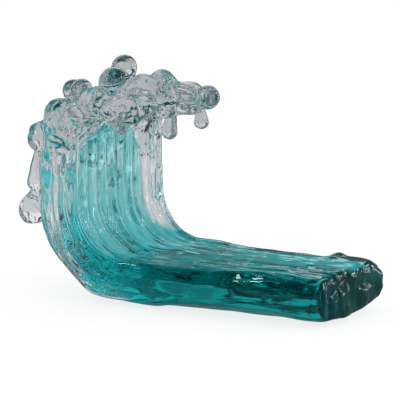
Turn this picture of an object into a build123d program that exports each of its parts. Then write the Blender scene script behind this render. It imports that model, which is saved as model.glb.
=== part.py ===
from build123d import *
import math
import os

# Hot-sculpted glass wave. +X runs out along the tail, -Y is the near side, +Z is up.
# The ground foot lies on Z = 0. All sizes are in millimetres.

# Wave profile
tail_reach = 149.0
tail_height = 37.5
tail_end_height = 40.0
tail_end_lift = 4.0
foot_grind = 3.5
curl_x = -39.0
curl_inner_radius = 44.5
wall_rise = 48.0
crest_inner_radius = 25.0
lip_angle = 50.0
crest_rise = 48.0
lip_rise = 26.0
dome_margin = 2.0

# Widths across the wave: the wall fans out wider than the tail
wall_half_width = 67.0
wall_side_bulge = 2.5
wall_back_inset = 10.0
tail_end_half_width = 55.0
tail_end_bulge = 9.0
tail_end_foot_inset = 27.0
crest_crown = 12.0
lip_corner_radius = 40.0
foot_half_width = 36.0
foot_edge_lift = 7.0

# Combed ribs on the concave face
rib_count = 10
rib_depth = 1.5
tail_end_rib_depth = 1.2

# Flutes where the clear glass ran down the back of the wall
flute_count = 5
flute_depth = 3.0

# Colour layer and clear layers
underlay_thickness = 8.0
underlay_end_thickness = 5.0
teal_wall_thickness = 11.0
teal_crest_thickness = 8.0
teal_rise = 20.0
teal_overlap = 11.5
near_rim_width = 4.5
far_rim_width = 34.0

# Broken end of the tail
break_radius = 64.0
break_depth = 7.0
break_spacing = 27.0
corner_break_radius = 48.0
corner_break_depth = 6.0
near_break_depth = 4.2

# Applied hot bits
ball_radius = 10.5
lump_radius = 14.0
drop_radius = 12.0
drop_length = 38.0
drip_radius = 6.5
drip_length = 24.0

reach = 500.0
slab_thickness = tail_height + foot_grind
curl_z = tail_height + curl_inner_radius
crest_x = curl_x - curl_inner_radius + crest_inner_radius
crest_z = curl_z + wall_rise
crest_outer_radius = crest_inner_radius + slab_thickness
back_x = crest_x - crest_outer_radius
crest_top = crest_z + crest_rise
teal_top = crest_z + teal_rise
crest_seam_height = teal_top - teal_overlap
dome_back = (back_x - dome_margin, crest_z)
dome_top = (crest_x - 0.5 * crest_inner_radius, crest_top)
dome_lip = (crest_x + 0.75 * crest_outer_radius, crest_z + lip_rise)


def polar(x, z, radius, angle):
    """Point in the XZ side view at a distance and an angle from a centre."""
    turn = math.radians(angle)
    return (x + radius * math.cos(turn), z + radius * math.sin(turn))


def circle_through(first, second, third):
    """Centre and radius of the circle through three points in the side view."""
    ax, az = second[0] - first[0], second[1] - first[1]
    bx, bz = third[0] - first[0], third[1] - first[1]
    a = (ax**2 + az**2) / 2
    b = (bx**2 + bz**2) / 2
    cross = ax * bz - az * bx
    x = (a * bz - b * az) / cross
    z = (ax * b - bx * a) / cross
    return (first[0] + x, first[1] + z), math.hypot(x, z)


def slab_section(place, half_width, bulge, outer_inset, thickness, rib, flute):
    """Cross section of the gather: combed face at local y = 0, fluted outside at y = thickness."""
    edge = half_width - bulge
    outer = half_width - outer_inset
    knots = 2 * rib_count
    comb = [(edge * (2 * i / knots - 1), -rib * (i % 2)) for i in range(knots + 1)]
    runs = 2 * flute_count
    back = [(outer * (1 - 2 * i / runs), thickness - flute * (i % 2)) for i in range(runs + 1)]
    with BuildSketch(place) as face:
        with BuildLine():
            Spline(*comb)
            ThreePointArc((edge, 0), (half_width, thickness * 0.42), back[0])
            Spline(*back)
            ThreePointArc(back[-1], (-half_width, thickness * 0.42), (-edge, 0))
        make_face()
    return face.sketch


def wall_section(place):
    """Cross section of the wall, the curl and the crest."""
    return slab_section(
        place, wall_half_width, wall_side_bulge, wall_back_inset, slab_thickness, rib_depth, flute_depth
    )


# The whole glass gather: the tail, the curl, the wall and the crest turned over into the lip
tail_plane = Plane(origin=(curl_x, 0, tail_height), x_dir=(0, 1, 0), z_dir=(-1, 0, 0))
tail_end_plane = Plane(origin=(tail_reach, 0, tail_end_height), x_dir=(0, 1, 0), z_dir=(-1, 0, 0))
wall_plane = Plane(origin=(curl_x - curl_inner_radius, 0, curl_z), x_dir=(0, 1, 0), z_dir=(0, 0, 1))
crest_plane = wall_plane.offset(wall_rise)
tail_end = slab_section(
    tail_end_plane,
    tail_end_half_width,
    tail_end_bulge,
    tail_end_foot_inset,
    tail_end_height - tail_end_lift,
    tail_end_rib_depth,
    0,
)
with BuildPart() as gather:
    loft([wall_section(tail_plane), tail_end])
    revolve(wall_section(tail_plane), axis=Axis((curl_x, 0, curl_z), (0, 1, 0)), revolution_arc=90)
    extrude(wall_section(wall_plane), amount=wall_rise)
    revolve(
        wall_section(crest_plane), axis=Axis((crest_x, 0, crest_z), (0, 1, 0)), revolution_arc=180 - lip_angle
    )
    # Crest dressed down to a dome from the back over to the lip, seen from the side
    above = crest_top + crest_rise
    beyond = dome_lip[0] + crest_outer_radius
    with BuildSketch(Plane.XZ):
        with BuildLine():
            ThreePointArc(dome_back, dome_top, dome_lip)
            Polyline(dome_lip, (beyond, dome_lip[1]), (beyond, above), (dome_back[0], above), dome_back)
        make_face()
    extrude(amount=reach, both=True, mode=Mode.SUBTRACT)
    # Crest rounded down at both ends, and the ground foot with its edges bevelled, seen from the front
    with BuildSketch(Plane.YZ):
        with BuildLine():
            ends = crest_top - crest_crown
            ThreePointArc((-wall_half_width, ends), (0, crest_top + dome_margin), (wall_half_width, ends))
            outside = wall_half_width + wall_side_bulge
            Polyline(
                (wall_half_width, ends),
                (outside, curl_z),
                (outside, foot_edge_lift),
                (foot_half_width, 0),
                (-foot_half_width, 0),
                (-outside, foot_edge_lift),
                (-outside, curl_z),
                (-wall_half_width, ends),
            )
        make_face()
    extrude(amount=reach, both=True, mode=Mode.INTERSECT)
    # Lip corners rounded off, seen from above
    tip_x = crest_x + crest_outer_radius * math.cos(math.radians(lip_angle))
    for side in (-1, 1):
        inset = lip_corner_radius * (1 - math.sqrt(0.5))
        start = (tip_x - lip_corner_radius, side * wall_half_width)
        middle = (tip_x - inset, side * (wall_half_width - inset))
        end = (tip_x, side * (wall_half_width - lip_corner_radius))
        with BuildSketch(Plane.XY.offset(crest_seam_height)):
            with BuildLine():
                ThreePointArc(start, middle, end)
                outside = side * (wall_half_width + lip_corner_radius)
                clear_x = tip_x + lip_corner_radius
                Polyline(end, (clear_x, end[1]), (clear_x, outside), (start[0], outside), start)
            make_face()
        extrude(amount=reach, mode=Mode.SUBTRACT)
    # Two shell-shaped breaks that leave a ridge between them on the tail end
    for side in (-1, 1):
        middle = Vector(tail_reach + break_radius - break_depth, side * break_spacing, tail_height * 0.62)
        with Locations(middle):
            Sphere(break_radius, mode=Mode.SUBTRACT)
    # Chips off the tail end: far top corner, near edge and far foot
    half = tail_end_half_width
    far_top = Vector(
        tail_reach - corner_break_depth, half - 2 * corner_break_depth, tail_end_height - corner_break_depth / 2
    )
    near_side = Vector(tail_reach - near_break_depth, near_break_depth - half, tail_end_height * 0.55)
    far_foot = Vector(tail_reach, half * 0.47, tail_end_height * 0.25)
    for middle, inward in (
        (far_top, Vector(-1, -1, -1)),
        (near_side, Vector(-1, 1, 0)),
        (far_foot, Vector(-2, -2.5, 6)),
    ):
        with Locations(middle - inward.normalized() * corner_break_radius):
            Sphere(corner_break_radius, mode=Mode.SUBTRACT)

# Side-view region of the face layer, everything on the concave side of the layer line
tail_corner = (tail_reach + break_depth, underlay_end_thickness)
layer_line = [tail_corner, (curl_x, underlay_thickness)]
for share in (0.33, 0.67, 1.0):
    depth = tail_height - underlay_thickness
    radius = curl_inner_radius + depth + (teal_wall_thickness - depth) * share
    layer_line.append(polar(curl_x, curl_z, radius, 270 - 90 * share))
for angle in (180, 140, 95):
    layer_line.append(polar(crest_x, crest_z, crest_inner_radius + teal_crest_thickness, angle))

with BuildPart() as face_layer:
    with BuildSketch(Plane.XZ):
        with BuildLine():
            Line(layer_line[0], layer_line[1])
            Spline(*layer_line[1:], tangents=((-1, 0), (1, 0)))
            Polyline(layer_line[-1], (crest_x, crest_z), (tail_corner[0], crest_z), tail_corner)
        make_face()
    extrude(amount=reach, both=True)

# Front-view arch that the colour fills, wide in the tail and narrower up the wall
near_edge = near_rim_width - wall_half_width
far_edge = wall_half_width - far_rim_width
flare = wall_half_width * 1.45
rise = teal_top - curl_z
arch_line = [
    (flare, tail_height * 0.55),
    (wall_half_width * 0.88, tail_height + curl_inner_radius * 0.09),
    (far_edge + far_rim_width * 0.18, tail_height + curl_inner_radius * 0.3),
    (far_edge + far_rim_width * 0.05, curl_z - curl_inner_radius * 0.18),
    (far_edge - far_rim_width * 0.15, curl_z + rise * 0.55),
    (0, teal_top),
    (near_edge * 0.75, curl_z + rise * 0.75),
    (near_edge, curl_z),
    (-wall_half_width * 0.955, tail_height),
    (-flare, tail_height * 0.2),
]
with BuildPart() as colour_arch:
    with BuildSketch(Plane.YZ):
        with BuildLine():
            Spline(*arch_line)
            Polyline(arch_line[-1], (-flare, -tail_height), (flare, -tail_height), arch_line[0])
        make_face()
    extrude(amount=reach, both=True)

with BuildPart() as below_seam:
    with BuildSketch(Plane.XY.offset(crest_seam_height)):
        Rectangle(2 * reach, 2 * reach)
    extrude(amount=-reach)

with BuildPart() as colour_region:
    add(face_layer.part)
    add(colour_arch.part, mode=Mode.INTERSECT)

# Teal colour layer
with BuildPart() as teal_body:
    add(gather.part)
    add(colour_region.part, mode=Mode.INTERSECT)

# Clear casing behind the colour and under the tail
with BuildPart() as clear_casing:
    add(gather.part)
    add(face_layer.part, mode=Mode.SUBTRACT)
    add(below_seam.part, mode=Mode.INTERSECT)

# Clear rims beside the colour
with BuildPart() as rims:
    add(gather.part)
    add(face_layer.part, mode=Mode.INTERSECT)
    add(below_seam.part, mode=Mode.INTERSECT)
    add(colour_arch.part, mode=Mode.SUBTRACT)
rim_solids = rims.part.solids().sort_by(SortBy.VOLUME)[-2:].sort_by(Axis.Y)
with BuildPart() as near_rim:
    add(rim_solids[0])
with BuildPart() as far_rim:
    add(rim_solids[1])

# Clear crest curling over into the lip
with BuildPart() as crest_lip:
    add(gather.part)
    add(below_seam.part, mode=Mode.SUBTRACT)
    add(colour_region.part, mode=Mode.SUBTRACT)


dome_middle, dome_radius = circle_through(dome_back, dome_top, dome_lip)


def crest_skin(angle, side):
    """Point on the dome of the crest and its outward direction.

    The side runs from -1 at the near edge to 1 at the far edge.
    """
    x, z = polar(*dome_middle, dome_radius, angle)
    turn = math.radians(angle)
    return Vector(x, side * wall_half_width, z), Vector(math.cos(turn), 0, math.sin(turn))


def back_skin(share, side):
    """Point on the back of the wall, share of the way from the curl to the crest, and its direction."""
    return Vector(back_x, side * wall_half_width, curl_z + wall_rise * share), Vector(-1, 0, 0)


def lip_skin(depth, side):
    """Point on the end face of the lip, a share of the way in from its outer edge, and its direction."""
    x, z = polar(crest_x, crest_z, crest_outer_radius - depth * slab_thickness, lip_angle)
    turn = math.radians(lip_angle - 90)
    return Vector(x, side * wall_half_width, z), Vector(math.cos(turn), 0, math.sin(turn))


placed = []


def largest(solids):
    """The main solid that is left after neighbours have been cut away."""
    return solids.sort_by(SortBy.VOLUME)[-1]


def finish_bit(raw, name):
    """Cut a hot bit back to the glass it is fused on, then write it out."""
    box = raw.bounding_box()
    with BuildPart() as bit:
        add(raw)
        add(gather.part, mode=Mode.SUBTRACT)
        for other in placed:
            if box.overlaps(other.bounding_box()):
                add(other, mode=Mode.SUBTRACT)
    with BuildPart() as kept:
        add(largest(bit.part.solids()))
    kept.part.label = name
    placed.append(kept.part)
    export_step(kept.part, "parts/" + name + ".step")


def add_lump(name, skin, radius, stand):
    """Round bit of glass pressed on, its middle standing off the skin by a share of its radius."""
    point, out = skin
    with BuildPart(Plane(origin=point + out * (radius * stand), x_dir=(0, 1, 0), z_dir=out)) as lump:
        Sphere(radius)
    finish_bit(lump.part, name)


def add_drop(name, skin, radius, length, lean, stand):
    """Hanging drop: a round bulb with a neck that tapers up to a small round top."""
    point, out = skin
    down = (Vector(0, 0, -1) + out * lean).normalized()
    across = Vector(0, 1, 0)
    bulb = point + out * (radius * stand)
    neck = length - 1.3 * radius
    tip = 0.3 * radius
    tilt = math.asin((radius - tip) / neck)
    low = (radius * math.cos(tilt), -radius * math.sin(tilt))
    high = (tip * math.cos(tilt), -neck - tip * math.sin(tilt))
    with BuildPart() as drop:
        with BuildSketch(Plane(origin=bulb, x_dir=across, z_dir=across.cross(down))):
            with BuildLine():
                CenterArc((0, 0), radius, math.degrees(-tilt), 90 + math.degrees(tilt))
                Line(low, high)
                CenterArc((0, -neck), tip, -90, 90 - math.degrees(tilt))
                Line((0, -neck - tip), (0, radius))
            make_face()
        revolve(axis=Axis(bulb, down))
    finish_bit(drop.part, name)


os.makedirs("parts", exist_ok=True)

layers = {
    "teal_body": teal_body,
    "clear_casing": clear_casing,
    "near_rim": near_rim,
    "far_rim": far_rim,
    "crest_lip": crest_lip,
}
for label, layer in layers.items():
    layer.part.label = label
    export_step(layer.part, "parts/" + label + ".step")

# Foam lumps pressed over the crest, from the near end round to the far end
add_lump("near_shoulder_lump", crest_skin(140, -0.66), lump_radius * 1.05, -0.25)
add_lump("back_shoulder_lump", crest_skin(158, -0.82), lump_radius * 0.95, -0.25)
add_lump("near_fold_back", crest_skin(120, -0.88), lump_radius * 1.05, -1.3)
add_lump("near_fold_middle", crest_skin(92, -0.90), lump_radius * 0.95, -0.8)
add_lump("near_fold_front", crest_skin(64, -0.86), lump_radius * 0.95, -0.6)
add_lump("crest_back_lump", crest_skin(138, -0.05), lump_radius * 1.1, -0.2)
add_lump("far_shoulder_lump", crest_skin(140, 0.64), lump_radius * 1.1, -0.2)
add_lump("far_fold_lump", crest_skin(104, 0.80), lump_radius, -0.5)
add_lump("crest_middle_lump", crest_skin(74, -0.35), lump_radius, -0.1)
add_lump("far_crest_lump", crest_skin(79, 0.20), lump_radius * 1.05, -0.2)
add_lump("lip_top_lump", crest_skin(63, 0.50), lump_radius, -0.5)
add_lump("lip_front_lump_near", lip_skin(0.50, -0.62), lump_radius * 0.95, 0.0)
add_lump("lip_front_lump_middle", lip_skin(0.45, -0.22), lump_radius, 0.0)
add_lump("lip_front_lump_far", lip_skin(0.50, 0.30), lump_radius * 0.85, 0.0)

# Round balls dropped on last
add_lump("crest_front_ball", crest_skin(95, -0.42), ball_radius * 1.3, 0.15)
add_drop("crest_top_ball", crest_skin(100, -0.05), ball_radius * 1.05, ball_radius * 3, 20, 1.2)
add_lump("shoulder_ball_near", crest_skin(108, -0.80), ball_radius * 0.88, 0.1)
add_lump("shoulder_ball_back", crest_skin(120, -0.66), ball_radius * 0.92, 0.5)
add_lump("lip_tip_ball", crest_skin(51, 0.50), ball_radius, 0.3)

# Drips hanging from the lip
add_drop("lip_long_drip", lip_skin(1.31, 0.33), drip_radius * 1.1, drip_length * 1.4, -0.1, 0.8)
add_drop("lip_near_drip", lip_skin(1.12, -0.72), drip_radius * 0.85, drip_length, -0.1, 0.0)
add_drop("lip_tip_drip", lip_skin(0.89, 0.66), drip_radius, drip_length * 1.3, 0.3, 2.3)

# Drops run down the back of the wall
add_drop("back_drop_large", back_skin(-0.225, -0.77), drop_radius, drop_length, 0.5, 1.0)
add_drop("back_drop_far", back_skin(0.21, 0.45), drop_radius * 0.8, drop_length * 0.9, 0.3, 0.6)
add_drop("back_drop_small", back_skin(0.29, -0.84), drip_radius, drip_length * 1.5, 0.05, 0.6)
add_lump("back_middle_lump", back_skin(0.71, -0.12), lump_radius * 0.8, -0.1)
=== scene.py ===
"""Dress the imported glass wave: one hot glass form, parted into the pieces it was fused from."""

import logging
import math
from collections.abc import Iterable
from dataclasses import dataclass, field
from enum import Enum
from typing import NamedTuple

import bmesh
import bpy
import numpy as np
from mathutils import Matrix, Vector
from mathutils.bvhtree import BVHTree


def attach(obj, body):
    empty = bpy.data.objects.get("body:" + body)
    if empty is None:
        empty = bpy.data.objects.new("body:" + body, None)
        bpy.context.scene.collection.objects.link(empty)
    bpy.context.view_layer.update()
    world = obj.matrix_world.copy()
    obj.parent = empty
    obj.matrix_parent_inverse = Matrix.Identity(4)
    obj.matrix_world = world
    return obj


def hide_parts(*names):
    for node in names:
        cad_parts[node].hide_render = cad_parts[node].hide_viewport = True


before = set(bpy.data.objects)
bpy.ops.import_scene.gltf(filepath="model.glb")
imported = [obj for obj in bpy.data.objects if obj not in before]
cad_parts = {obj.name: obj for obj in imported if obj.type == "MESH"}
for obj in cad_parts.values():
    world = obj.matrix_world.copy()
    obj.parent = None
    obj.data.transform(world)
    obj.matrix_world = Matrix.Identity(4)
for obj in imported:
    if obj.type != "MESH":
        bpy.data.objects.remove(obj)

log = logging.getLogger("glass_wave")
Outline = list[tuple[float, float]]
Triple = tuple[float, float, float]
Socket = bpy.types.NodeSocket

# Distance from one combed rib to the next, in metres. Painted shade darkens the valleys between the ribs.
COMB_PITCH = 0.0118
NOISE_SEED = 11
# Directions from the wave to the backdrop, to the side panel and to the lens.
TO_BACKDROP = (-0.55, 0.82, -0.15)
TO_SIDE = (0.55, 0.82, 0.0)
TO_LENS = (0.55, -0.82, 0.16)
WHITE = (1.0, 1.0, 1.0, 1.0)


class Cut(Enum):
    """Which side of a cutter is kept."""

    INSIDE = "INTERSECT"
    OUTSIDE = "DIFFERENCE"
    BOTH = "UNION"


class Slot(Enum):
    """Material slots of the part."""

    CLEAR = "clear_glass"
    TEAL = "teal_glass"


class Span(NamedTuple):
    """Two ends of a stretch over which something comes in."""

    low: float
    high: float

    def share(self, value: np.ndarray) -> np.ndarray:
        """Go evenly from 0 at the low end to 1 at the high end."""
        return np.clip((value - self.low) / (self.high - self.low), 0.0, 1.0)

    def ease(self, value: np.ndarray) -> np.ndarray:
        """Go smoothly from 0 at the low end to 1 at the high end."""
        share = self.share(value)
        return share * share * (3.0 - 2.0 * share)

    def fade(self, value: np.ndarray) -> np.ndarray:
        """Go smoothly from 1 at the low end to 0 at the high end."""
        return 1.0 - self.ease(value)


UNIT = Span(0.0, 1.0)


def select_only(obj: bpy.types.Object) -> None:
    """Make obj the one selected and active object."""
    bpy.ops.object.select_all(action="DESELECT")
    obj.select_set(True)
    bpy.context.view_layer.objects.active = obj


def new_object(name: str, mesh: bpy.types.Mesh) -> bpy.types.Object:
    """Link a new object for a mesh at the origin."""
    obj = bpy.data.objects.new(name, mesh)
    bpy.context.scene.collection.objects.link(obj)
    return obj


def discard(obj: bpy.types.Object) -> None:
    """Remove a helper object and its mesh."""
    mesh = obj.data
    bpy.data.objects.remove(obj)
    bpy.data.meshes.remove(mesh)


def vertex_places(mesh: bpy.types.Mesh) -> np.ndarray:
    """Read where the vertices of a mesh are.

    Args:
        mesh: mesh to read.

    Returns:
        Their places, one row each.
    """
    places = np.empty(len(mesh.vertices) * 3)
    mesh.vertices.foreach_get("co", places)
    return places.reshape(-1, 3)


def wrap_hull(work: bmesh.types.BMesh) -> None:
    """Wrap loose vertices in their convex hull.

    Args:
        work: the vertices, left as the hull alone.
    """
    hull = bmesh.ops.convex_hull(work, input=work.verts)
    inside = hull["geom_interior"] + hull["geom_unused"]
    spare = {item for item in inside if isinstance(item, bmesh.types.BMVert)}
    bmesh.ops.delete(work, geom=list(spare), context="VERTS")


class FlowNoise:
    """Seeded smooth noise for moving many points at once."""

    CELLS = 64

    def __init__(self, seed: int) -> None:
        """Fill the lattice from a seed."""
        rng = np.random.default_rng(seed)
        self.table = rng.uniform(-1.0, 1.0, (self.CELLS,) * 3)

    def at(self, u: np.ndarray, v: np.ndarray, w: np.ndarray | float = 0.0) -> np.ndarray:
        """Sample the noise.

        Args:
            u: first coordinate, one unit per lattice cell.
            v: second coordinate.
            w: third coordinate.

        Returns:
            Values between -1 and 1.
        """
        place = np.stack(np.broadcast_arrays(u, v, w), axis=1)
        cell = np.floor(place).astype(np.int64)
        part = place - cell
        part = part * part * (3.0 - 2.0 * part)
        total = np.zeros(len(place))
        for corner in range(8):
            step = np.array([corner & 1, corner >> 1 & 1, corner >> 2 & 1])
            share = np.where(step, part, 1.0 - part).prod(axis=1)
            i, j, k = ((cell + step) % self.CELLS).T
            total += share * self.table[i, j, k]
        return total


@dataclass(frozen=True)
class Relief:
    """One layer of relief: its height, and how far its marks reach, in metres.

    A coordinate that only tells the near side from the far one has a reach of 1.
    """

    height: float
    reach: tuple[float, ...]
    layer: float = 0.0
    sunk: float = 0.0

    def rise(self, noise: FlowNoise, *place: np.ndarray) -> np.ndarray:
        """Measure the layer at many places.

        Args:
            noise: noise that shapes the layer.
            place: two or three coordinates, one array for each reach.

        Returns:
            The heights. A sunk layer is creased, and its creases lie that share below the surface.
        """
        steps = [axis / reach for axis, reach in zip(place, self.reach)]
        third = steps[2] if len(steps) > 2 else 0.0
        waves = noise.at(steps[0], steps[1], third + self.layer)
        if self.sunk:
            waves = np.abs(waves) - self.sunk
        return self.height * waves


# How far the combing wanders sideways.
COMB_WANDER = Relief(0.005, (0.06, 0.045), 3.3)


def comb_lane(noise: FlowNoise, along: np.ndarray, side: np.ndarray) -> np.ndarray:
    """Place points across the combing, which wanders sideways as it runs along the glass.

    Args:
        noise: noise that makes it wander.
        along: distances along the face.
        side: places across the wave.

    Returns:
        Places across the combing.
    """
    return side + COMB_WANDER.rise(noise, along, side)


@dataclass(frozen=True)
class WaveProfile:
    """Side view of the wave and the arch of its colour, in metres, as the CAD draws them."""

    tail_reach: float = 0.149
    tail_height: float = 0.0375
    tail_end_top: float = 0.040
    curl_x: float = -0.039
    curl_radius: float = 0.0445
    wall_rise: float = 0.048
    crest_radius: float = 0.025
    slab: float = 0.041
    half_width: float = 0.067
    near_rim: float = 0.0045
    far_rim: float = 0.034
    underlay: float = 0.008
    underlay_end: float = 0.005
    teal_wall: float = 0.011
    teal_crest: float = 0.008
    teal_top: float = 0.150
    seam: float = 0.1385
    layer_power: float = 0.7
    crest_turn: float = 85.0
    arch_flare: float = 1.45
    arch_skirt: float = 0.05
    overshoot: float = 0.03
    curl_steps: int = 24
    crest_steps: int = 18
    knot_steps: int = 10

    @property
    def curl_z(self) -> float:
        """Height of the curl's middle."""
        return self.tail_height + self.curl_radius

    @property
    def face_x(self) -> float:
        """Place of the concave face along X."""
        return self.curl_x - self.curl_radius

    @property
    def crest_x(self) -> float:
        """Place of the crest's middle along X."""
        return self.face_x + self.crest_radius

    @property
    def crest_z(self) -> float:
        """Height of the crest's middle."""
        return self.curl_z + self.wall_rise

    def flow(self, points: np.ndarray) -> tuple[np.ndarray, np.ndarray]:
        """Measure points along and through the bent glass.

        Args:
            points: places, one row each.

        Returns:
            Distance along the face (positive out along the tail) and depth below the face.
        """
        x, z = points[:, 0], points[:, 2]
        share = np.clip((x - self.curl_x) / (self.tail_reach - self.curl_x), 0.0, 1.0)
        along = x - self.curl_x
        depth = self.tail_height + share * (self.tail_end_top - self.tail_height) - z
        turn = np.arctan2(self.curl_x - x, self.curl_z - z)
        curl = (x < self.curl_x) & (z < self.curl_z)
        along = np.where(curl, -self.curl_radius * turn, along)
        depth = np.where(curl, np.hypot(x - self.curl_x, z - self.curl_z) - self.curl_radius, depth)
        quarter = self.curl_radius * math.pi / 2
        wall = (z >= self.curl_z) & (z < self.crest_z)
        along = np.where(wall, -quarter - (z - self.curl_z), along)
        depth = np.where(wall, self.face_x - x, depth)
        over = np.arctan2(z - self.crest_z, self.crest_x - x)
        crest = z >= self.crest_z
        bend = self.crest_radius + self.slab / 2
        along = np.where(crest, -quarter - self.wall_rise - bend * over, along)
        ring = np.hypot(x - self.crest_x, z - self.crest_z) - self.crest_radius
        return along, np.where(crest, ring, depth)

    def layer_outline(self) -> Outline:
        """Draw all glass on the face side of the colour's back, as seen from the side.

        Returns:
            The outline.
        """
        line = [(self.curl_x, self.underlay)]
        deep = self.tail_height - self.underlay
        for step in range(1, self.curl_steps + 1):
            share = step / self.curl_steps
            ease = share ** self.layer_power
            radius = self.curl_radius + deep + (self.teal_wall - deep) * ease
            angle = math.radians(270 - 90 * share)
            line.append((self.curl_x + radius * math.cos(angle), self.curl_z + radius * math.sin(angle)))
        for step in range(self.crest_steps + 1):
            share = step / self.crest_steps
            radius = self.crest_radius + self.teal_wall + (self.teal_crest - self.teal_wall) * share
            angle = math.radians(180 - self.crest_turn * share)
            line.append((self.crest_x + radius * math.cos(angle), self.crest_z + radius * math.sin(angle)))
        past = self.tail_reach + self.overshoot
        return [(past, self.underlay_end), *line, (self.crest_x, self.crest_z), (past, self.crest_z)]

    def arch_outline(self) -> Outline:
        """Draw the arch that the colour fills, as seen from the front.

        Returns:
            The outline.
        """
        near = self.near_rim - self.half_width
        far = self.half_width - self.far_rim
        flare = self.half_width * self.arch_flare
        rise = self.teal_top - self.curl_z
        knots = [
            (flare, self.tail_height * 0.55),
            (self.half_width * 0.88, self.tail_height + self.curl_radius * 0.09),
            (far + self.far_rim * 0.18, self.tail_height + self.curl_radius * 0.3),
            (far + self.far_rim * 0.05, self.curl_z - self.curl_radius * 0.18),
            (far - self.far_rim * 0.15, self.curl_z + rise * 0.55),
            (0.0, self.teal_top),
            (near * 0.75, self.curl_z + rise * 0.75),
            (near, self.curl_z),
            (-self.half_width * 0.955, self.tail_height),
            (-flare, self.tail_height * 0.2),
        ]
        skirt = [(-flare, -self.arch_skirt), (flare, -self.arch_skirt)]
        return [*self._through(knots, self.knot_steps), *skirt]

    @staticmethod
    def _through(knots: Outline, steps: int) -> Outline:
        """Draw a smooth line through knots.

        Args:
            knots: points on the line.
            steps: points drawn for each span.

        Returns:
            The points of the line.
        """
        pts = np.array([knots[0], *knots, knots[-1]])
        line: Outline = []
        for a, b, c, d in zip(pts, pts[1:], pts[2:], pts[3:]):
            for t in np.arange(steps) / steps:
                p = 0.5 * (2 * b + (c - a) * t + (2 * a - 5 * b + 4 * c - d) * t**2)
                p = p + 0.5 * (3 * b - a - 3 * c + d) * t**3
                line.append((float(p[0]), float(p[1])))
        return [*line, knots[-1]]


@dataclass(frozen=True)
class CombedFace:
    """Combed ribs and streaks on the concave face."""

    profile: WaveProfile
    noise: FlowNoise
    skin: Span = Span(0.002, 0.005)
    facing: Span = Span(0.3, 0.8)
    rib_height: float = 0.0019
    rib_power: float = 0.7
    rib_middle: float = 0.6
    tail: Span = Span(0.0, 0.06)
    tail_loss: float = 0.65
    fine: Relief = Relief(0.0008, (0.06, 0.0038), 8.1)
    crinkle: Relief = Relief(0.0003, (0.007, 0.006), 5.7)
    swell: Relief = Relief(0.0006, (0.022, 0.012), 1.9)

    def heights(self, place: np.ndarray, out: np.ndarray) -> np.ndarray:
        """Measure the combing.

        Args:
            place: places on the glass, one row each.
            out: directions out of the glass there.

        Returns:
            Heights along those directions.
        """
        along, depth = self.profile.flow(place)
        side = place[:, 1]
        lane = comb_lane(self.noise, along, side)
        face = self.skin.fade(np.abs(depth)) * self.facing.ease(np.abs(out[:, 0]) + np.abs(out[:, 2]))
        rib = np.abs(np.cos(math.pi * lane / COMB_PITCH)) ** self.rib_power - self.rib_middle
        ribs = (1.0 - self.tail_loss * self.tail.ease(along)) * self.rib_height * rib
        streaks = self.fine.rise(self.noise, along, lane) + self.crinkle.rise(self.noise, along, lane)
        return face * (ribs + streaks + self.swell.rise(self.noise, along, side))


@dataclass(frozen=True)
class TailSkin:
    """Ripples on the top and sides of the tail, and its uneven lower edges."""

    noise: FlowNoise
    start: Span = Span(-0.03, 0.02)
    ceiling: Span = Span(0.09, 0.1)
    top: Span = Span(0.5, 0.9)
    ripple: Relief = Relief(0.0012, (0.034, 0.012), 2.2)
    fine_ripple: Relief = Relief(0.0004, (0.016, 0.006), 6.2)
    brim: Span = Span(0.03, 0.05)
    brim_ripple: Relief = Relief(0.0018, (0.03, 1.0), 3.6)
    far_brim: Span = Span(0.028, 0.044)
    horn_x: float = 0.107
    horn_width: float = 0.006
    horn_height: float = 0.0030
    dip: Span = Span(0.09, 0.11)
    dip_depth: float = 0.002
    flank: Span = Span(0.4, 0.9)
    band: Relief = Relief(0.0011, (0.055, 0.009, 1.0), 4.4)
    fine_band: Relief = Relief(0.0002, (0.02, 0.004, 1.0), 7.4)
    edge: Relief = Relief(0.0024, (0.034, 1.0), 9.9)
    foot_side: Span = Span(0.028, 0.052)
    foot_height: Span = Span(0.002, 0.016)
    foot_start: Span = Span(-0.01, 0.04)
    foot_end: Span = Span(0.10, 0.13)
    foot_lift: float = 0.0035
    foot_wave: Relief = Relief(0.002, (0.022, 1.0), 1.1)

    def heights(self, place: np.ndarray, out: np.ndarray) -> np.ndarray:
        """Measure the ripples on the top and sides.

        Args:
            place: places on the glass, one row each.
            out: directions out of the glass there.

        Returns:
            Heights along those directions.
        """
        x, y, z = place.T
        side = np.sign(y)
        ripple = self.ripple.rise(self.noise, x, y) + self.fine_ripple.rise(self.noise, x, y)
        ripple += self.brim.ease(np.abs(y)) * self.brim_ripple.rise(self.noise, x, side)
        horn = self.horn_height * np.exp(-(((x - self.horn_x) / self.horn_width) ** 2))
        ripple += (horn - self.dip_depth * self.dip.fade(x)) * self.far_brim.ease(y)
        bands = self.band.rise(self.noise, x, z, side) + self.fine_band.rise(self.noise, x, z, side)
        flank = self.flank.ease(np.abs(out[:, 1])) * (bands + self.edge.rise(self.noise, x, side))
        tail = self.start.ease(x) * self.ceiling.fade(z)
        return tail * (self.top.ease(out[:, 2]) * ripple + flank)

    def lower_edges(self, place: np.ndarray) -> np.ndarray:
        """Measure how far the lower edges are lifted.

        Args:
            place: places on the glass, one row each.

        Returns:
            Rises along Z.
        """
        x, y, z = place.T
        edge = self.foot_side.ease(np.abs(y)) * self.foot_height.fade(z)
        edge = edge * self.foot_start.ease(x) * self.foot_end.fade(x)
        return edge * (self.foot_lift + self.foot_wave.rise(self.noise, x, np.sign(y)))


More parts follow.
